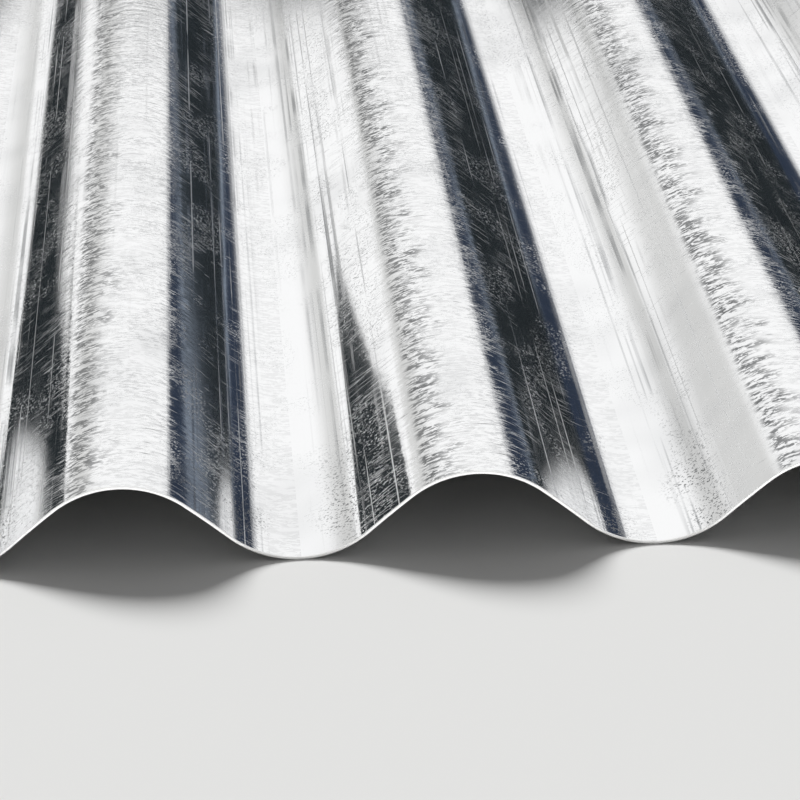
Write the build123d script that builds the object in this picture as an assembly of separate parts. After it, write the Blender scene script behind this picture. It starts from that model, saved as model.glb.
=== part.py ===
from build123d import *
import math
import os

# A corrugated roofing sheet, roll-formed from one flat strip of zinc-coated steel.
# The waves run across X and the flutes along Y, and the sheet lies flat on its
# valleys with Z up. The origin is at floor level under the middle of the sheet.
# Its section is arcs joined by straight flanks, as the forming rolls leave it, with
# the left edge turned down from a crest and the right edge turned up from a valley,
# so that one sheet laps over the next. Sizes are in millimetres.

# Driving dimensions
wave_pitch = 76.2  # crest to crest, the three inch wave
wave_depth = 17.7  # valley to crest, measured on the middle line of the metal
flank_length = 11.6  # the straight metal between a crest's arc and a valley's
metal_thickness = 0.7  # the steel and both zinc coats together
half_waves = 21  # steps between a crest and a valley, from one side to the other
side_lip = 4.4  # the straight metal past the outermost crest and valley
sheet_length = 2000.0  # a stock length, measured along the flutes


def middle_line_bend():
    """The radius of the middle line's arcs, and the angle that half an arc turns.

    A quarter wave starts level at the crest with half an arc. Half a flank leaves the
    arc on its tangent and ends a quarter of the pitch across and half the depth down.
    """
    across = wave_pitch / 4
    down = wave_depth / 2
    half_flank = flank_length / 2
    radius = (across**2 + down**2 - half_flank**2) / (2 * down)
    turn = math.atan2(across, radius - down) - math.atan2(half_flank, radius)
    return radius, math.degrees(turn)


def face_line(radius, turn, upper):
    """One face of the metal, seen along the flutes, from the left edge to the right.

    Each arc has the centre of the middle line's arc. Its radius is half a thickness
    more where the face is outside the bend, and half a thickness less where it is inside.
    """
    middle_valley = metal_thickness / 2
    middle_crest = middle_valley + wave_depth
    arcs = []
    for step in range(half_waves + 1):
        is_crest = step % 2 == 0
        outside = is_crest == upper
        face_radius = radius + (metal_thickness if outside else -metal_thickness) / 2
        across = (step - half_waves / 2) * wave_pitch / 2
        if is_crest:
            centre = (across, middle_crest - radius)
            arcs.append(CenterArc(centre, face_radius, 90 + turn, -2 * turn))
        else:
            centre = (across, middle_valley + radius)
            arcs.append(CenterArc(centre, face_radius, 270 - turn, 2 * turn))
    first, last = arcs[0], arcs[-1]
    left_lip = Line(first @ 0 - (first % 0) * side_lip, first @ 0)
    right_lip = Line(last @ 1, last @ 1 + (last % 1) * side_lip)
    flanks = [Line(left @ 1, right @ 0) for left, right in zip(arcs, arcs[1:])]
    return [left_lip, *arcs, *flanks, right_lip]


def sheet_section():
    """The closed outline of the metal, with both side edges cut square to their lips."""
    radius, turn = middle_line_bend()
    upper_face = face_line(radius, turn, upper=True)
    lower_face = face_line(radius, turn, upper=False)
    left_edge = Line(upper_face[0] @ 0, lower_face[0] @ 0)
    right_edge = Line(upper_face[-1] @ 1, lower_face[-1] @ 1)
    outline = [*upper_face, *lower_face, left_edge, right_edge]
    return make_face([Plane.XZ * edge for edge in outline])


def corrugated_sheet():
    """The whole sheet: its section, drawn out along the flutes to both cut ends."""
    return extrude(sheet_section(), amount=sheet_length / 2, both=True)


os.makedirs("parts", exist_ok=True)
export_step(corrugated_sheet(), "parts/corrugated_sheet.step")
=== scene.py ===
import math
from types import SimpleNamespace

import bmesh
import bpy
from mathutils import Matrix, Vector


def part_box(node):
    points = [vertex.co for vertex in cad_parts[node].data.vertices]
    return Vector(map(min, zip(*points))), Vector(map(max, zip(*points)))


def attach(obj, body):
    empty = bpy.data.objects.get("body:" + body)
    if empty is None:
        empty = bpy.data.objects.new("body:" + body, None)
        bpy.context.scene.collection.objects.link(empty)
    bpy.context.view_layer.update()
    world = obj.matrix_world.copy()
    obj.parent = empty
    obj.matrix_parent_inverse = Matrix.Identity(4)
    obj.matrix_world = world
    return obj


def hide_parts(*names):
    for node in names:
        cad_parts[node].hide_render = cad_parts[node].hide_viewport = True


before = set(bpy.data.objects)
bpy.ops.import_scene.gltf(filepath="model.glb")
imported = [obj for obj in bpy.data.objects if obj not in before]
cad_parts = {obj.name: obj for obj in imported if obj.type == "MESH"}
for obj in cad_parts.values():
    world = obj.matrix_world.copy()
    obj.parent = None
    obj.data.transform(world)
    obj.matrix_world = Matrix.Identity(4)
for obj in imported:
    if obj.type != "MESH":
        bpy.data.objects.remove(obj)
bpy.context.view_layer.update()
SHEET_LOW, SHEET_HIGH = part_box("corrugated_sheet")

bl_info = {
    "name": "Corrugated Zinc Sheet",
    "version": (1, 0, 0),
    "blender": (4, 5, 0),
    "location": "View3D > Sidebar > Sheet",
    "description": "Makes a roll-formed corrugated steel sheet with its zinc finish, and a small studio",
    "category": "Add Mesh",
}

MM = 0.001

# Edges that turn further than this are the sheared ones, and get the shear's rounding.
SHEARED_TURN = math.radians(60)
# A face with an edge shorter than this is on a cut edge or its rounding.
RIM_WIDTH = 0.9 * MM

# The colours of the cards that the metal mirrors.
DARK = (0.020, 0.025, 0.028)
SLATE = (0.030, 0.041, 0.066)
PALE = (0.24, 0.28, 0.34)
GREY = (0.69, 0.69, 0.68)
SHADE = (0.022, 0.027, 0.030)
BRIGHT = (1.4, 1.4, 1.4)


class SheetSizes(bpy.types.PropertyGroup):
    """The rolled section, the length, and how finely both are divided."""

    wave_pitch: bpy.props.FloatProperty(
        name="Wave Pitch", description="Distance from crest to crest", default=76.2 * MM, unit="LENGTH"
    )
    wave_depth: bpy.props.FloatProperty(
        name="Wave Depth",
        description="Height from valley to crest on the middle line of the metal",
        default=17.7 * MM,
        unit="LENGTH",
    )
    flank_length: bpy.props.FloatProperty(
        name="Flank Length",
        description="Straight metal between a crest's arc and a valley's",
        default=11.6 * MM,
        unit="LENGTH",
    )
    metal_thickness: bpy.props.FloatProperty(
        name="Metal Thickness", description="Steel and both zinc coats", default=0.7 * MM, unit="LENGTH"
    )
    side_lip: bpy.props.FloatProperty(
        name="Side Lip",
        description="Straight metal past the outermost crest and valley",
        default=4.4 * MM,
        unit="LENGTH",
    )
    half_waves: bpy.props.IntProperty(
        name="Half Waves", description="Steps between a crest and a valley", default=21, min=1
    )
    front_end: bpy.props.FloatProperty(
        name="Front End", description="Place of the front cut end", default=SHEET_LOW.y, unit="LENGTH"
    )
    back_end: bpy.props.FloatProperty(
        name="Back End", description="Place of the back cut end", default=SHEET_HIGH.y, unit="LENGTH"
    )
    arc_steps: bpy.props.IntProperty(
        name="Arc Steps", description="Facets round each crest and valley", default=24, min=4
    )
    flank_bow: bpy.props.FloatProperty(
        name="Flank Bow",
        description="How far the rolls leave a flank's middle above the straight line",
        default=0.08 * MM,
        unit="LENGTH",
    )
    flank_steps: bpy.props.IntProperty(
        name="Flank Steps", description="Facets across each flank", default=6, min=1
    )
    length_rows: bpy.props.IntProperty(
        name="Length Rows", description="Rows of facets from end to end", default=32, min=4
    )
    edge_rounding: bpy.props.FloatProperty(
        name="Edge Rounding",
        description="Rounding that the shear leaves on the edges of the sheet",
        default=0.2 * MM,
        unit="LENGTH",
    )


class ZincFinish(bpy.types.PropertyGroup):
    """The zinc coat, its marks and the bare cut edge."""

    zinc_colour: bpy.props.FloatVectorProperty(
        name="Zinc Colour",
        description="Reflected colour of the clean zinc coat",
        subtype="COLOR",
        default=(0.94, 0.945, 0.95),
        min=0.0,
        max=1.0,
    )
    dull_colour: bpy.props.FloatVectorProperty(
        name="Dull Colour",
        description="Reflected colour where the coat is rubbed dull",
        subtype="COLOR",
        default=(0.44, 0.45, 0.46),
        min=0.0,
        max=1.0,
    )
    dirt_colour: bpy.props.FloatVectorProperty(
        name="Dirt Colour",
        description="Reflected colour of the dirt that scratches and scuffs hold",
        subtype="COLOR",
        default=(0.16, 0.165, 0.17),
        min=0.0,
        max=1.0,
    )
    cut_colour: bpy.props.FloatVectorProperty(
        name="Cut Colour",
        description="Reflected colour of the sheared edges",
        subtype="COLOR",
        default=(0.98, 0.98, 0.97),
        min=0.0,
        max=1.0,
    )
    clean_roughness: bpy.props.FloatProperty(
        name="Clean Roughness", description="Roughness of the clean coat", default=0.07, min=0.0, max=1.0
    )
    rubbed_roughness: bpy.props.FloatProperty(
        name="Rubbed Roughness",
        description="Roughness of rubbed lines and specks",
        default=0.38,
        min=0.0,
        max=1.0,
    )
    scratch_roughness: bpy.props.FloatProperty(
        name="Scratch Roughness",
        description="Roughness in the cross scratches",
        default=0.55,
        min=0.0,
        max=1.0,
    )
    brush_depth: bpy.props.FloatProperty(
        name="Brush Depth",
        description="Depth of the short brush marks on the crests",
        default=0.040 * MM,
        unit="LENGTH",
    )
    grain_depth: bpy.props.FloatProperty(
        name="Grain Depth",
        description="Depth of the fine grain of the coat",
        default=0.009 * MM,
        unit="LENGTH",
    )
    roll_depth: bpy.props.FloatProperty(
        name="Roll Depth",
        description="Depth of the lines that the rolls leave",
        default=0.016 * MM,
        unit="LENGTH",
    )
    wave_height: bpy.props.FloatProperty(
        name="Wave Height",
        description="Height of the slow unevenness of the metal",
        default=0.05 * MM,
        unit="LENGTH",
    )
    blade_depth: bpy.props.FloatProperty(
        name="Blade Depth",
        description="Depth of the marks that the shear's blade leaves on a cut edge",
        default=0.02 * MM,
        unit="LENGTH",
    )
    worn_end: bpy.props.FloatProperty(
        name="Worn End",
        description="How far from a cut end the marks of handling reach",
        default=85 * MM,
        unit="LENGTH",
    )


class StudioSettings(bpy.types.PropertyGroup):
    """The floor, the light and the camera."""

    floor_colour: bpy.props.FloatVectorProperty(
        name="Floor Colour",
        description="Colour of the floor",
        subtype="COLOR",
        default=(0.80, 0.80, 0.79),
        min=0.0,
        max=1.0,
    )
    sun_strength: bpy.props.FloatProperty(
        name="Sun Strength", description="Strength of the soft sun", default=4.2
    )
    sun_width: bpy.props.FloatProperty(
        name="Sun Width",
        description="How wide the soft sun is in the sky",
        default=math.radians(22),
        subtype="ANGLE",
    )
    wall_distance: bpy.props.FloatProperty(
        name="Wall Distance",
        description="From the sheet's front end to the nearer cards that it mirrors",
        default=3.0,
        unit="LENGTH",
    )
    lens: bpy.props.FloatProperty(
        name="Lens", description="Focal length in millimetres on a 36 mm sensor", default=176.0
    )
    heading: bpy.props.FloatProperty(
        name="Heading",
        description="How far the camera looks to the right of the flutes",
        default=math.radians(2.79),
        subtype="ANGLE",
    )
    elevation: bpy.props.FloatProperty(
        name="Elevation",
        description="How steeply the camera looks down",
        default=math.radians(19.49),
        subtype="ANGLE",
    )
    roll: bpy.props.FloatProperty(
        name="Roll",
        description="Turn of the camera about its own axis",
        default=math.radians(-1.49),
        subtype="ANGLE",
    )
    distance: bpy.props.FloatProperty(
        name="Distance",
        description="From the camera to the point it aims at",
        default=822.2 * MM,
        unit="LENGTH",
    )
    aim_across: bpy.props.FloatProperty(
        name="Aim Across", description="Aim point to the right of a crest", default=60.2 * MM, unit="LENGTH"
    )
    aim_above: bpy.props.FloatProperty(
        name="Aim Above",
        description="Aim point above the middle of the sheet's depth",
        default=25.9 * MM,
        unit="LENGTH",
    )


def section_bend(sizes):
    """The radius of the middle line's arcs, and the angle that half an arc turns."""
    across, down, half_flank = sizes.wave_pitch / 4, sizes.wave_depth / 2, sizes.flank_length / 2
    radius = (across**2 + down**2 - half_flank**2) / (2 * down)
    turn = math.atan2(across, radius - down) - math.atan2(half_flank, radius)
    return radius, turn


def draw_straight(bm, vert, direction, length):
    """Draws a straight line on from a vertex, and returns its last vertex."""
    drawn = bmesh.ops.extrude_vert_indiv(bm, verts=[vert])
    bmesh.ops.translate(bm, verts=drawn["verts"], vec=direction * length)
    return drawn["verts"][0]


def draw_arc(bm, vert, centre, angle, steps):
    """Spins a vertex about a line along the flutes, and returns the arc's last vertex."""
    spun = bmesh.ops.spin(
        bm,
        geom=[vert],
        cent=centre,
        axis=(0, 1, 0),
        dvec=(0, 0, 0),
        angle=angle,
        steps=steps,
        use_merge=False,
    )
    return next(item for item in spun["geom_last"] if isinstance(item, bmesh.types.BMVert))


def draw_flank(bm, vert, direction, sizes):
    """Draws a flank that is bowed upwards a little, and returns its last vertex."""
    half, bow = sizes.flank_length / 2, sizes.flank_bow
    radius = (half**2 + bow**2) / (2 * bow)
    down = Vector((direction.z, 0, -direction.x))
    centre = vert.co + direction * half + down * (radius - bow)
    return draw_arc(bm, vert, centre, 2 * math.asin(half / radius), sizes.flank_steps)


def draw_lower_line(bm, sizes):
    """Draws the line of the sheet's lower face at its front end, from the left edge to the right."""
    radius, turn = section_bend(sizes)
    half_metal = sizes.metal_thickness / 2
    rising = Vector((math.cos(turn), 0, math.sin(turn)))
    falling = Vector((math.cos(turn), 0, -math.sin(turn)))
    crest_centre_z = half_metal + sizes.wave_depth - radius
    valley_centre_z = half_metal + radius
    left_crest_x = -sizes.half_waves * sizes.wave_pitch / 4
    inside = radius - half_metal
    lip_x = left_crest_x - inside * math.sin(turn)
    lip_z = crest_centre_z + inside * math.cos(turn)
    lip_end = Vector((lip_x, sizes.front_end, lip_z))
    vert = bm.verts.new(lip_end - rising * sizes.side_lip)
    vert = draw_straight(bm, vert, rising, sizes.side_lip)
    for step in range(sizes.half_waves + 1):
        is_crest = step % 2 == 0
        centre = Vector((left_crest_x + step * sizes.wave_pitch / 2, sizes.front_end, 0))
        centre.z = crest_centre_z if is_crest else valley_centre_z
        vert = draw_arc(bm, vert, centre, 2 * turn if is_crest else -2 * turn, sizes.arc_steps)
        onward = falling if is_crest else rising
        if step < sizes.half_waves:
            vert = draw_flank(bm, vert, onward, sizes)
        else:
            draw_straight(bm, vert, onward, sizes.side_lip)


def unroll_line(bm):
    """Stores on each vertex of the section line how far along the metal it is from the middle."""
    across = bm.verts.layers.float.new("across")
    line = sorted(bm.verts, key=lambda vert: vert.co.x)
    length = 0.0
    for vert, following in zip(line, line[1:]):
        length += (following.co - vert.co).length
        following[across] = length
    for vert in line:
        vert[across] -= length / 2


def draw_along(bm, sizes):
    """Draws the section line out along the flutes, its faces looking down."""
    row = (sizes.back_end - sizes.front_end) / sizes.length_rows
    bmesh.ops.spin(
        bm,
        geom=list(bm.verts) + list(bm.edges),
        cent=(0, 0, 0),
        axis=(0, 1, 0),
        dvec=(0, row, 0),
        angle=0,
        steps=sizes.length_rows,
        use_merge=False,
    )
    bmesh.ops.recalc_face_normals(bm, faces=bm.faces)
    if sum(face.normal.z for face in bm.faces) > 0:
        bmesh.ops.reverse_faces(bm, faces=bm.faces)


def is_rim(face):
    """Whether a face belongs to a cut edge or its rounding, and not to the waves."""
    return min(edge.calc_length() for edge in face.edges) < RIM_WIDTH


def unroll_faces(bm):
    """Unrolls the faces on their own UV map, and gives the cut edges flat shading and a material."""
    across = bm.verts.layers.float["across"]
    unrolled = bm.loops.layers.uv.new("Unrolled")
    for face in bm.faces:
        for loop in face.loops:
            loop[unrolled].uv = (loop.vert[across], loop.vert.co.y)
        rim = is_rim(face)
        face.material_index = int(rim)
        face.smooth = not rim
        if rim:
            for edge in face.edges:
                edge.smooth = False


def replace_sheet(sizes, finish):
    """Makes the sheet as a fine mesh of its own section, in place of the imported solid."""
    bm = bmesh.new()
    draw_lower_line(bm, sizes)
    unroll_line(bm)
    draw_along(bm, sizes)
    bmesh.ops.solidify(bm, geom=list(bm.faces), thickness=sizes.metal_thickness)
    bmesh.ops.recalc_face_normals(bm, faces=bm.faces)
    bmesh.ops.bevel(
        bm,
        geom=[edge for edge in bm.edges if edge.calc_face_angle() > SHEARED_TURN],
        offset=sizes.edge_rounding,
        segments=3,
        profile=0.5,
        affect="EDGES",
        material=-1,
    )
    unroll_faces(bm)
    sheet = link_drawn("zinc_sheet", bm, zinc_material(finish, sizes))
    sheet.data.materials.append(cut_material(finish))
    return sheet


def link_object(name, data):
    """Puts new data in the scene as an object at the origin."""
    made = bpy.data.objects.new(name, data)
    bpy.context.scene.collection.objects.link(made)
    return made


def link_drawn(name, bm, material):
    """Makes an object of a drawn mesh and its material, and puts it in the scene."""
    mesh = bpy.data.meshes.new(name)
    bm.to_mesh(mesh)
    bm.free()
    mesh.materials.append(material)
    return link_object(name, mesh)


def fill_socket(tree, socket, value):
    """Links a socket to another, or sets its plain value."""
    if isinstance(value, bpy.types.NodeSocket):
        tree.links.new(value, socket)
    else:
        socket.default_value = value


def add_node(tree, kind, inputs=None, **settings):
    """Adds a node, sets its properties, and sets or links the sockets that are named."""
    node = tree.nodes.new(kind)
    for name, value in settings.items():
        setattr(node, name, value)
    for name, value in (inputs or {}).items():
        fill_socket(tree, node.inputs[name], value)
    return node


def maths(tree, operation, first, second=0.0, third=0.0):
    """A Math node's result."""
    inputs = {0: first, 1: second, 2: third}
    return add_node(tree, "ShaderNodeMath", inputs, operation=operation).outputs[0]


def product(tree, first, *others):
    """Values multiplied with each other."""
    for other in others:
        first = maths(tree, "MULTIPLY", first, other)
    return first


def largest(tree, first, *others):
    """The largest of some values."""
    for other in others:
        first = maths(tree, "MAXIMUM", first, other)
    return first


def ramp(tree, value, low, high, to_low=0.0, to_high=1.0):
    """A smooth step of a value from low to high."""
    inputs = {"Value": value, "From Min": low, "From Max": high, "To Min": to_low, "To Max": to_high}
    return add_node(tree, "ShaderNodeMapRange", inputs, interpolation_type="SMOOTHSTEP").outputs["Result"]


def band(tree, value, rise, fall):
    """1 where a value lies between a rise and a fall, and 0 beyond them."""
    return product(tree, ramp(tree, value, *rise), ramp(tree, value, *fall, 1.0, 0.0))


def along(tree, place, direction):
    """How far a place lies in a direction."""
    inputs = {0: place, 1: direction}
    return add_node(tree, "ShaderNodeVectorMath", inputs, operation="DOT_PRODUCT").outputs["Value"]


def mix_colours(tree, amount, first, second):
    """The first colour where the amount is 0, and the second where it is 1."""
    mixed = add_node(tree, "ShaderNodeMix", data_type="RGBA")
    sockets = [socket for socket in mixed.inputs if socket.enabled]
    for socket, value in zip(sockets, (amount, first, second)):
        fill_socket(tree, socket, value)
    return next(socket for socket in mixed.outputs if socket.enabled)


def stretched(tree, place, across, length, turn=0.0, shift=0.0):
    """A place in metres, turned and divided by the size of a mark across the sheet and along it."""
    inputs = {"Vector": place, "Angle": turn}
    turned = add_node(tree, "ShaderNodeVectorRotate", inputs, rotation_type="Z_AXIS").outputs["Vector"]
    inputs = {0: turned, 1: (1 / across, 1 / length, 1.0), 2: (shift, shift * 1.7, shift * 0.6)}
    return add_node(tree, "ShaderNodeVectorMath", inputs, operation="MULTIPLY_ADD").outputs["Vector"]


def cloud(tree, place, across, length, turn=0.0, shift=0.0, detail=1.0, roughness=0.5, distortion=0.0):
    """Noise about 0.5, with marks of a size across the sheet and along it."""
    inputs = {
        "Vector": stretched(tree, place, across, length, turn, shift),
        "Scale": 1.0,
        "Detail": detail,
        "Roughness": roughness,
        "Distortion": distortion,
    }
    return add_node(tree, "ShaderNodeTexNoise", inputs, noise_dimensions="3D").outputs["Fac"]


def new_group(name, inputs, outputs):
    """An empty shader node group with named sockets."""
    group = bpy.data.node_groups.new(name, "ShaderNodeTree")
    for socket, kind in inputs.items():
        group.interface.new_socket(name=socket, in_out="INPUT", socket_type=kind)
    for socket in outputs:
        group.interface.new_socket(name=socket, in_out="OUTPUT", socket_type="NodeSocketFloat")
    return group, add_node(group, "NodeGroupInput").outputs, add_node(group, "NodeGroupOutput")


def place_group(tree, group, inputs):
    """Places a group in a material with its own values, and returns what it puts out."""
    return add_node(tree, "ShaderNodeGroup", inputs, node_tree=group).outputs


def scratches_group():
    """Thin scratches that run across the flutes: long hairlines, short nicks, and the dirt in a few."""
    inputs = {"Place": "NodeSocketVector", "Amount": "NodeSocketFloat"}
    group, given, result = new_group("cross_scratches", inputs, ["Mask", "Dirt"])
    bend = cloud(group, given["Place"], 20 * MM, 20 * MM)
    bend = maths(group, "MULTIPLY_ADD", bend, 5 * MM, -2.5 * MM)
    bend = add_node(group, "ShaderNodeCombineXYZ", {"Y": bend}).outputs["Vector"]
    inputs = {0: given["Place"], 1: bend}
    bent = add_node(group, "ShaderNodeVectorMath", inputs, operation="ADD").outputs["Vector"]
    # Each layer's spacing along its marks and across them, its angle, its shift, how thick
    # its marks are as a share of the spacing, how strong they are, and whether some hold dirt.
    layers = (
        (15 * MM, 0.9 * MM, 5, 1.3, 0.25, 0.9, False),
        (24 * MM, 0.8 * MM, 16, 4.7, 0.22, 1.0, False),
        (28 * MM, 1.8 * MM, 2, 8.1, 0.17, 1.0, False),
        (70 * MM, 4.5 * MM, -4, 2.9, 0.07, 1.0, True),
        (15 * MM, 3.6 * MM, 12, 6.3, 0.12, 0.8, True),
    )
    marks, dirt = 0.0, 0.0
    for length, width, angle, shift, thickness, strength, holds_dirt in layers:
        spot = stretched(group, bent, length, width, math.radians(angle), shift)
        inputs = {"Vector": spot, "Scale": 1.0, "Randomness": 1.0}
        cell = add_node(group, "ShaderNodeTexVoronoi", inputs, voronoi_dimensions="2D", feature="F1").outputs
        seeds = add_node(group, "ShaderNodeSeparateColor", {"Color": cell["Color"]}).outputs
        line = ramp(group, cell["Distance"], 0.0, thickness, strength, 0.0)
        kept = ramp(group, maths(group, "ADD", seeds["Red"], given["Amount"]), 0.8, 1.3)
        line = product(group, line, kept)
        marks = largest(group, marks, line)
        if holds_dirt:
            dirt = largest(group, dirt, product(group, line, ramp(group, seeds["Green"], 0.4, 0.8)))
    group.links.new(marks, result.inputs["Mask"])
    group.links.new(dirt, result.inputs["Dirt"])
    return group


def brush_group():
    """Short brush marks and rubbed patches, wider across the sheet than along it."""
    outputs = ["Height", "Mask", "Flecks"]
    group, given, result = new_group("brush_marks", {"Place": "NodeSocketVector"}, outputs)
    place, tilt = given["Place"], math.radians(8)
    coarse = cloud(group, place, 5.8 * MM, 3.4 * MM, tilt, 3.1, distortion=0.3)
    fine = cloud(group, place, 1.7 * MM, 0.9 * MM, -tilt, 7.7, detail=2.0, roughness=0.55, distortion=0.3)
    patch = cloud(group, place, 11 * MM, 16 * MM, 0.3, 1.9, roughness=0.6)
    height = maths(group, "MULTIPLY_ADD", fine, 0.62, product(group, coarse, 1.7))
    group.links.new(height, result.inputs["Height"])
    mask = product(group, ramp(group, fine, 0.45, 0.62), ramp(group, patch, 0.36, 0.62))
    group.links.new(mask, result.inputs["Mask"])
    flecks = product(group, ramp(group, fine, 0.43, 0.52), ramp(group, coarse, 0.32, 0.52))
    group.links.new(flecks, result.inputs["Flecks"])
    return group


def roll_lines_group():
    """Lines that the forming rolls leave along the flutes."""
    group, given, result = new_group("roll_lines", {"Place": "NodeSocketVector"}, ["Height", "Mask"])
    place = given["Place"]
    fine = cloud(group, place, 1.2 * MM, 450 * MM, shift=5.3, roughness=0.6)
    broad = cloud(group, place, 6.5 * MM, 600 * MM, shift=2.1)
    broken = cloud(group, place, 6 * MM, 45 * MM, shift=9.7, roughness=0.6)
    group.links.new(maths(group, "ADD", broad, fine), result.inputs["Height"])
    mask = product(group, ramp(group, fine, 0.50, 0.68), ramp(group, broken, 0.30, 0.62))
    group.links.new(mask, result.inputs["Mask"])
    return group


def grain_group():
    """The fine grain of a zinc coat, and the rough specks in it."""
    group, given, result = new_group("zinc_grain", {"Place": "NodeSocketVector"}, ["Height", "Mask"])
    place = given["Place"]
    grain = cloud(group, place, 0.6 * MM, 0.7 * MM, shift=4.4, roughness=0.6)
    patch = cloud(group, place, 11 * MM, 30 * MM, shift=8.8, roughness=0.6)
    group.links.new(grain, result.inputs["Height"])
    mask = product(group, ramp(group, grain, 0.54, 0.66), ramp(group, patch, 0.38, 0.60))
    group.links.new(mask, result.inputs["Mask"])
    return group


def new_material(name):
    """An empty node material with a Principled BSDF joined to its output."""
    material = bpy.data.materials.new(name)
    material.use_nodes = True
    tree = material.node_tree
    tree.nodes.clear()
    shader = add_node(tree, "ShaderNodeBsdfPrincipled")
    add_node(tree, "ShaderNodeOutputMaterial", {"Surface": shader.outputs["BSDF"]})
    return material, tree, shader


def bump_shader(tree, shader, height):
    """Joins a height in metres to a shader's normal."""
    inputs = {"Strength": 1.0, "Distance": 1.0, "Height": height}
    tree.links.new(add_node(tree, "ShaderNodeBump", inputs).outputs["Normal"], shader.inputs["Normal"])


def sheet_places(tree, finish, sizes):
    """Where a point lies on its wave and along the sheet, as distances and masks."""
    unrolled = add_node(tree, "ShaderNodeUVMap", uv_map="Unrolled").outputs["UV"]
    solid = add_node(tree, "ShaderNodeTexCoord").outputs["Object"]
    height = add_node(tree, "ShaderNodeSeparateXYZ", {"Vector": solid}).outputs["Z"]
    on_sheet = add_node(tree, "ShaderNodeSeparateXYZ", {"Vector": unrolled}).outputs
    radius, turn = section_bend(sizes)
    arc_end = radius * turn
    flank_end = arc_end + sizes.flank_length
    wave_metal = 4 * radius * turn + 2 * sizes.flank_length
    across = maths(tree, "ADD", on_sheet["X"], wave_metal / 4)
    from_crest = maths(tree, "WRAP", across, wave_metal / 2, -wave_metal / 2)
    from_middle = maths(tree, "ABSOLUTE", from_crest)
    half_length = (sizes.back_end - sizes.front_end) / 2
    to_end = maths(tree, "SUBTRACT", on_sheet["Y"], (sizes.front_end + sizes.back_end) / 2)
    to_end = maths(tree, "ABSOLUTE", to_end)
    blend, margin = 3.2 * MM, 0.3 * MM
    flank_rise = (arc_end - blend, arc_end - margin)
    flank_fall = (flank_end + margin, flank_end + blend)
    return SimpleNamespace(
        unrolled=unrolled,
        from_crest=from_crest,
        from_middle=from_middle,
        crest=ramp(tree, height, 0.62 * sizes.wave_depth, 0.92 * sizes.wave_depth),
        valley=ramp(tree, height, 0.22 * sizes.wave_depth, 0.05 * sizes.wave_depth),
        flank=band(tree, from_middle, flank_rise, flank_fall),
        near_end=ramp(tree, to_end, half_length - finish.worn_end, half_length - 0.2 * finish.worn_end),
    )


def scuffed_side(tree, at):
    """A mask of the scuffed left side of each crest, with a wandering border."""
    wander = cloud(tree, at.unrolled, 7 * MM, 10 * MM, shift=15.0)
    wandered = maths(tree, "MULTIPLY_ADD", wander, 16 * MM, maths(tree, "SUBTRACT", at.from_crest, 8 * MM))
    from_flank = ramp(tree, at.from_crest, -12.6 * MM, -10.6 * MM)
    return product(tree, from_flank, ramp(tree, wandered, -9.5 * MM, -1 * MM, 1.0, 0.15))


def coat_relief(tree, at, finish, rolled, grain, brushed):
    """The coat's height in metres: roll lines, grain and slow unevenness, and brush marks on the crests."""
    slow = cloud(tree, at.unrolled, 22 * MM, 110 * MM, shift=6.6)
    parts = (
        (rolled["Height"], finish.roll_depth, 1.0),
        (grain["Height"], finish.grain_depth, 0.5),
        (slow, finish.wave_height, 0.5),
    )
    height = -sum(depth * middle for part, depth, middle in parts)
    for part, depth, middle in parts:
        height = maths(tree, "MULTIPLY_ADD", part, depth, height)
    height = product(tree, height, maths(tree, "MULTIPLY_ADD", at.flank, -0.92, 1.0))
    brushing = product(tree, at.crest, ramp(tree, at.from_crest, -9.5 * MM, 1 * MM, 0.96, 0.74))
    brushing = product(tree, brushed["Height"], maths(tree, "ADD", brushing, 0.04))
    return maths(tree, "MULTIPLY_ADD", brushing, finish.brush_depth, height)


def rubbed_marks(tree, at, scuffed, rolled, grain, brushed):
    """How far the coat is rubbed: brushed crests, roll lines, specks, and a few long lines on the sides."""
    on_crest = maths(tree, "MULTIPLY_ADD", scuffed, 0.26, 0.7)
    on_crest = maths(tree, "MULTIPLY_ADD", at.crest, on_crest, 0.04)
    sides = band(tree, at.from_middle, (15 * MM, 22 * MM), (30 * MM, 36 * MM))
    rubbed = largest(
        tree,
        product(tree, brushed["Mask"], on_crest),
        product(tree, rolled["Mask"], 0.45),
        product(tree, grain["Mask"], 0.8),
        product(tree, ramp(tree, grain["Height"], 0.58, 0.68, 0.0, 0.8), sides, at.near_end),
    )
    unbroken = ramp(tree, cloud(tree, at.unrolled, 3 * MM, 90 * MM, shift=1.4), 0.36, 0.60, 0.1, 0.9)
    for from_middle, half_width in ((18.2, 0.4), (25.1, 0.25), (27.5, 0.35), (30.3, 0.3)):
        off_line = maths(tree, "ABSOLUTE", maths(tree, "SUBTRACT", at.from_middle, from_middle * MM))
        line = ramp(tree, off_line, 0.0, half_width * MM, 1.0, 0.0)
        rubbed = largest(tree, rubbed, product(tree, line, unbroken))
    return rubbed


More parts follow.
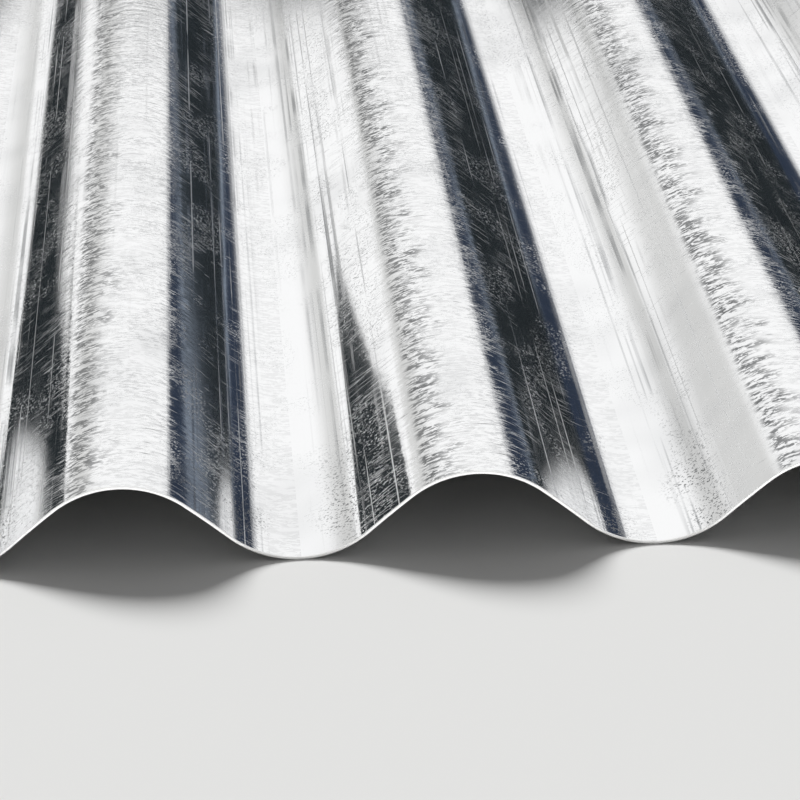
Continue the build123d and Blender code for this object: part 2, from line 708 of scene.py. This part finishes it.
def zinc_material(finish, sizes):
    """The zinc coat: bright and smooth in the valleys, brushed on the crests, scratched across."""
    material, tree, shader = new_material("zinc_coat")
    at = sheet_places(tree, finish, sizes)
    tone = cloud(tree, at.unrolled, 35 * MM, 70 * MM, 0.4, 12.0, detail=2.0, roughness=0.6)
    handled = maths(tree, "MULTIPLY_ADD", at.near_end, 0.18, ramp(tree, tone, 0.38, 0.62, 0.54, 0.22))
    scratches = place_group(tree, scratches_group(), {"Place": at.unrolled, "Amount": handled})
    brushed = place_group(tree, brush_group(), {"Place": at.unrolled})
    rolled = place_group(tree, roll_lines_group(), {"Place": at.unrolled})
    grain = place_group(tree, grain_group(), {"Place": at.unrolled})
    scuffed = scuffed_side(tree, at)

    bump_shader(tree, shader, coat_relief(tree, at, finish, rolled, grain, brushed))

    rubbed = rubbed_marks(tree, at, scuffed, rolled, grain, brushed)
    roughness = ramp(tree, rubbed, 0.0, 1.0, finish.clean_roughness, finish.rubbed_roughness)
    off_valley = maths(tree, "MULTIPLY_ADD", at.valley, -0.85, 1.0)
    scratched = product(tree, scratches["Mask"], off_valley, finish.scratch_roughness)
    tree.links.new(largest(tree, roughness, scratched), shader.inputs["Roughness"])

    valley_side = band(tree, at.from_middle, (24 * MM, 28 * MM), (33 * MM, 40 * MM))
    dull_lines = product(tree, rolled["Mask"], valley_side)
    dull = largest(tree, ramp(tree, tone, 0.45, 0.8, 0.0, 0.4), dull_lines)
    dirt = largest(
        tree,
        product(tree, scratches["Dirt"], at.crest),
        product(tree, brushed["Flecks"], scuffed),
        product(tree, grain["Mask"], at.near_end, valley_side),
    )
    worn = mix_colours(tree, dull, (*finish.zinc_colour, 1), (*finish.dull_colour, 1))
    tree.links.new(mix_colours(tree, dirt, worn, (*finish.dirt_colour, 1)), shader.inputs["Base Color"])
    shader.inputs["Metallic"].default_value = 1.0
    return material


def cut_material(finish):
    """The sheared steel of the edges, with the marks of the blade."""
    material, tree, shader = new_material("cut_edge")
    solid = add_node(tree, "ShaderNodeTexCoord").outputs["Object"]
    marks = cloud(tree, solid, 0.3 * MM, 0.3 * MM, shift=2.0, detail=2.0, roughness=0.6)
    bump_shader(tree, shader, product(tree, marks, finish.blade_depth))
    tree.links.new(ramp(tree, marks, 0.35, 0.7, 0.4, 0.6), shader.inputs["Roughness"])
    shader.inputs["Metallic"].default_value = 1.0
    shader.inputs["Base Color"].default_value = (*finish.cut_colour, 1)
    return material


def make_floor(studio):
    """A wide level floor at the sheet's lowest height."""
    bm = bmesh.new()
    bmesh.ops.create_grid(bm, x_segments=1, y_segments=1, size=60)
    material, tree, shader = new_material("floor")
    shader.inputs["Base Color"].default_value = (*studio.floor_colour, 1)
    shader.inputs["Roughness"].default_value = 0.9
    link_drawn("floor", bm, material)


def glow_material(name, colour):
    """A material that gives an even glow where its returned factor is 1, and is clear where that is 0."""
    material = bpy.data.materials.new(name)
    material.use_nodes = True
    material.cycles.emission_sampling = "NONE"
    tree = material.node_tree
    tree.nodes.clear()
    clear = add_node(tree, "ShaderNodeBsdfTransparent")
    glow = add_node(tree, "ShaderNodeEmission", {"Color": (*colour, 1), "Strength": 1.0})
    mixed = add_node(tree, "ShaderNodeMixShader", {0: 1.0, 1: clear.outputs[0], 2: glow.outputs[0]})
    add_node(tree, "ShaderNodeOutputMaterial", {"Surface": mixed.outputs[0]})
    return material, tree, mixed.inputs[0]


def draw_card(width, length, middle):
    """Draws a flat rectangle about a point."""
    bm = bmesh.new()
    bmesh.ops.create_grid(bm, x_segments=1, y_segments=1, size=0.5)
    bmesh.ops.scale(bm, vec=(width, length, 1), verts=bm.verts)
    bmesh.ops.translate(bm, vec=middle, verts=bm.verts)
    return bm


def finish_card(name, bm, material):
    """Makes a card of a drawn mesh that is there for reflections alone."""
    card = link_drawn(name, bm, material)
    for ray in ("camera", "diffuse", "transmission", "volume_scatter", "shadow"):
        setattr(card, "visible_" + ray, False)
    return card


def stand_card(card, wall):
    """Stands a card up, a wall's distance behind the front end and a little over the floor."""
    place = Matrix.Translation((0, SHEET_LOW.y + wall, 10 * MM))
    card.matrix_world = place @ Matrix.Rotation(math.radians(90), 4, "X")


def on_wall(wall, *angles):
    """How far out on a wall each angle reaches, seen from the front end."""
    return [wall * math.tan(math.radians(angle)) for angle in angles]


def pointing(angle):
    """A direction on a card, at an angle that turns up from its right."""
    return Vector((math.cos(math.radians(angle)), math.sin(math.radians(angle)), 0))


def make_card(wall, name, low, high, colour, cuts=(), fades=()):
    """A card between two corners, in degrees from the front end, cut along lines and clearer along fades.

    A cut or a fade is a point on the card and the direction in which the card ends beyond it.
    A fade also has its width.
    """
    left, bottom = on_wall(wall, *low)
    right, top = on_wall(wall, *high)
    bm = draw_card(right - left, top - bottom, ((left + right) / 2, (bottom + top) / 2, 0))
    for azimuth, elevation, outward in cuts:
        point = (*on_wall(wall, azimuth, elevation), 0)
        geom = list(bm.verts) + list(bm.edges) + list(bm.faces)
        bmesh.ops.bisect_plane(bm, geom=geom, plane_co=point, plane_no=pointing(outward), clear_outer=True)
    material, tree, factor = glow_material(name, colour)
    if fades:
        place = add_node(tree, "ShaderNodeTexCoord").outputs["Object"]
        solid = 1.0
        for azimuth, elevation, outward, width in fades:
            away = pointing(outward)
            start = away.dot(Vector((*on_wall(wall, azimuth, elevation), 0)))
            end = start + on_wall(wall, width)[0]
            solid = product(tree, solid, ramp(tree, along(tree, place, away), start, end, 1.0, 0.0))
        tree.links.new(solid, factor)
    stand_card(finish_card(name, bm, material), wall)


def make_disc(wall, name, size, colour):
    """A round card straight beyond the back end, its radius in degrees."""
    bm = bmesh.new()
    bmesh.ops.create_circle(bm, cap_ends=True, segments=64, radius=on_wall(wall, size)[0])
    stand_card(finish_card(name, bm, glow_material(name, colour)[0]), wall)


def make_cards(studio):
    """The cards beyond the back end that make the dark and pale bands along the flutes."""
    near, far = studio.wall_distance, 4 * studio.wall_distance
    grey_fades = [(-13.5, 12.3, 46, 8.5), (-14.4, 10.5, 250, 1.2)]
    make_disc(near, "dark_end", 11.0, DARK)
    make_card(near, "slate_right", (7, 5.9), (28, 26), SLATE, fades=[(16.8, 11.4, 130, 3.2)])
    make_card(near, "pale_right", (7, 4.7), (28, 5.9), PALE)
    make_card(near, "dark_right", (7, -3), (28, 4.7), DARK)
    make_card(far, "dark_left", (-28, 4.4), (-8, 14), DARK, cuts=[(-18.05, 7.0, 36)])
    make_card(far, "dark_left_low", (-28, -3), (-18.2, 4.4), DARK)
    make_card(near, "grey_left", (-30, 8), (0, 26), GREY, fades=grey_fades)


def make_edge_light(name, y):
    """A bright card on the floor before a cut end, whose edge mirrors its upper side."""
    material, tree, factor = glow_material(name, BRIGHT)
    sides = add_node(tree, "ShaderNodeNewGeometry")
    path = add_node(tree, "ShaderNodeLightPath")
    direct = maths(tree, "LESS_THAN", path.outputs["Diffuse Depth"], 0.5)
    upper = maths(tree, "SUBTRACT", 1.0, sides.outputs["Backfacing"])
    tree.links.new(product(tree, direct, upper), factor)
    finish_card(name, draw_card(0.9, 0.25, (0, y, 1 * MM)), material)


def make_shade(sizes):
    """A dark board low over the sheet. Only what one flute mirrors of another sees it."""
    material, tree, factor = glow_material("shade", SHADE)
    backward = Vector((0.23, 0.97, 0))
    front_edge = backward.dot(Vector((-79 * MM, sizes.front_end + 219 * MM, 0)))
    place = add_node(tree, "ShaderNodeTexCoord").outputs["Object"]
    inward = along(tree, place, backward)
    covered = ramp(tree, inward, front_edge - 24 * MM, front_edge + 10 * MM)
    path = add_node(tree, "ShaderNodeLightPath")
    mirrored_again = maths(tree, "GREATER_THAN", path.outputs["Glossy Depth"], 1.5)
    tree.links.new(product(tree, mirrored_again, covered), factor)
    finish_card("shade", draw_card(1.2, 2.6, (0, 0, 29 * MM)), material)


def studio_bands(tree):
    """What reflections show round the sheet: a dark floor line and a grey band, and white towards +Y."""
    towards = add_node(tree, "ShaderNodeTexCoord").outputs["Generated"]
    towards = add_node(tree, "ShaderNodeSeparateXYZ", {"Vector": towards}).outputs
    height = maths(tree, "ARCSINE", towards["Z"])
    floor_low, floor_high, grey_low, grey_full, white_low, white_full = (
        math.radians(angle) for angle in (3, 14, 24, 36, 37, 54)
    )
    over_floor = ramp(tree, height, floor_low, floor_high, 0.03, 1.0)
    under_grey = ramp(tree, height, grey_low, grey_full, 1.0, 0.18)
    over_grey = ramp(tree, height, white_low, white_full)
    bands = product(tree, over_floor, largest(tree, under_grey, over_grey))
    return largest(tree, bands, ramp(tree, towards["Y"], 0.60, 0.78))


def make_world():
    """A white surround that lights the sheet at a plain level, with a studio's bands in reflections."""
    world = bpy.data.worlds.new("surround")
    bpy.context.scene.world = world
    world.use_nodes = True
    tree = world.node_tree
    tree.nodes.clear()
    path = add_node(tree, "ShaderNodeLightPath").outputs
    seen = largest(tree, path["Is Camera Ray"], path["Is Glossy Ray"], path["Is Transmission Ray"])
    lighting = 0.2
    level = maths(tree, "MULTIPLY_ADD", seen, 1.0 - lighting, lighting)
    lost = product(tree, path["Is Glossy Ray"], maths(tree, "SUBTRACT", 1.0, studio_bands(tree)))
    strength = product(tree, level, maths(tree, "SUBTRACT", 1.0, lost))
    light = add_node(tree, "ShaderNodeBackground", {"Color": (1, 1, 1, 1), "Strength": strength})
    add_node(tree, "ShaderNodeOutputWorld", {"Surface": light.outputs["Background"]})


def make_lamp(studio):
    """A wide soft sun behind the sheet, so that the cut end throws its shadow towards the camera."""
    data = bpy.data.lights.new("soft_sun", "SUN")
    data.angle = studio.sun_width
    data.energy = studio.sun_strength
    lamp = link_object("soft_sun", data)
    lamp.visible_glossy = False
    shining = Vector((1.3, -3.2, -2.4))
    lamp.rotation_euler = shining.to_track_quat("-Z", "Y").to_euler()


def make_camera(studio, sizes):
    """The camera, placed from the crest to the left of the sheet's middle."""
    data = bpy.data.cameras.new("camera")
    data.lens, data.sensor_width = studio.lens, 36.0
    data.clip_start, data.clip_end = 0.01, 200
    camera = link_object("camera", data)
    crest_x = -sizes.wave_pitch / 4
    middle_z = (sizes.metal_thickness + sizes.wave_depth) / 2
    aim = Vector((crest_x + studio.aim_across, sizes.front_end, middle_z + studio.aim_above))
    turned = (
        Matrix.Rotation(-studio.heading, 4, "Z")
        @ Matrix.Rotation(math.pi / 2 - studio.elevation, 4, "X")
        @ Matrix.Rotation(studio.roll, 4, "Z")
    )
    camera.matrix_world = Matrix.Translation(aim) @ turned @ Matrix.Translation((0, 0, studio.distance))
    bpy.context.scene.camera = camera


class SHEET_OT_make_sheet(bpy.types.Operator):
    """Make the corrugated sheet with its zinc finish"""

    bl_idname = "sheet.make_sheet"
    bl_label = "Make Sheet"

    def execute(self, context):
        sheet = replace_sheet(context.scene.sheet_sizes, context.scene.zinc_finish)
        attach(sheet, "root")
        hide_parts("corrugated_sheet")
        return {"FINISHED"}


class SHEET_OT_make_stage(bpy.types.Operator):
    """Make the floor, the cards, the light and the camera"""

    bl_idname = "sheet.make_stage"
    bl_label = "Make Stage"

    def execute(self, context):
        studio, sizes = context.scene.studio_settings, context.scene.sheet_sizes
        before_end = 0.13
        make_floor(studio)
        make_world()
        make_lamp(studio)
        make_cards(studio)
        make_shade(sizes)
        make_edge_light("front_edge_light", SHEET_LOW.y - before_end)
        make_edge_light("back_edge_light", SHEET_HIGH.y + before_end)
        make_camera(studio, sizes)
        context.scene.view_settings.view_transform = "Standard"
        return {"FINISHED"}


class SHEET_PT_panel(bpy.types.Panel):
    """Lists the sheet's operators"""

    bl_label = "Corrugated Sheet"
    bl_idname = "SHEET_PT_panel"
    bl_space_type = "VIEW_3D"
    bl_region_type = "UI"
    bl_category = "Sheet"

    def draw(self, context):
        self.layout.operator(SHEET_OT_make_sheet.bl_idname)
        self.layout.operator(SHEET_OT_make_stage.bl_idname)


CLASSES = (SheetSizes, ZincFinish, StudioSettings, SHEET_OT_make_sheet, SHEET_OT_make_stage, SHEET_PT_panel)


def register():
    for one in CLASSES:
        bpy.utils.register_class(one)
    bpy.types.Scene.sheet_sizes = bpy.props.PointerProperty(type=SheetSizes)
    bpy.types.Scene.zinc_finish = bpy.props.PointerProperty(type=ZincFinish)
    bpy.types.Scene.studio_settings = bpy.props.PointerProperty(type=StudioSettings)


def unregister():
    del bpy.types.Scene.studio_settings
    del bpy.types.Scene.zinc_finish
    del bpy.types.Scene.sheet_sizes
    for one in reversed(CLASSES):
        bpy.utils.unregister_class(one)


def main():
    register()
    bpy.ops.sheet.make_sheet()
    bpy.ops.sheet.make_stage()


if __name__ == "__main__":
    main()
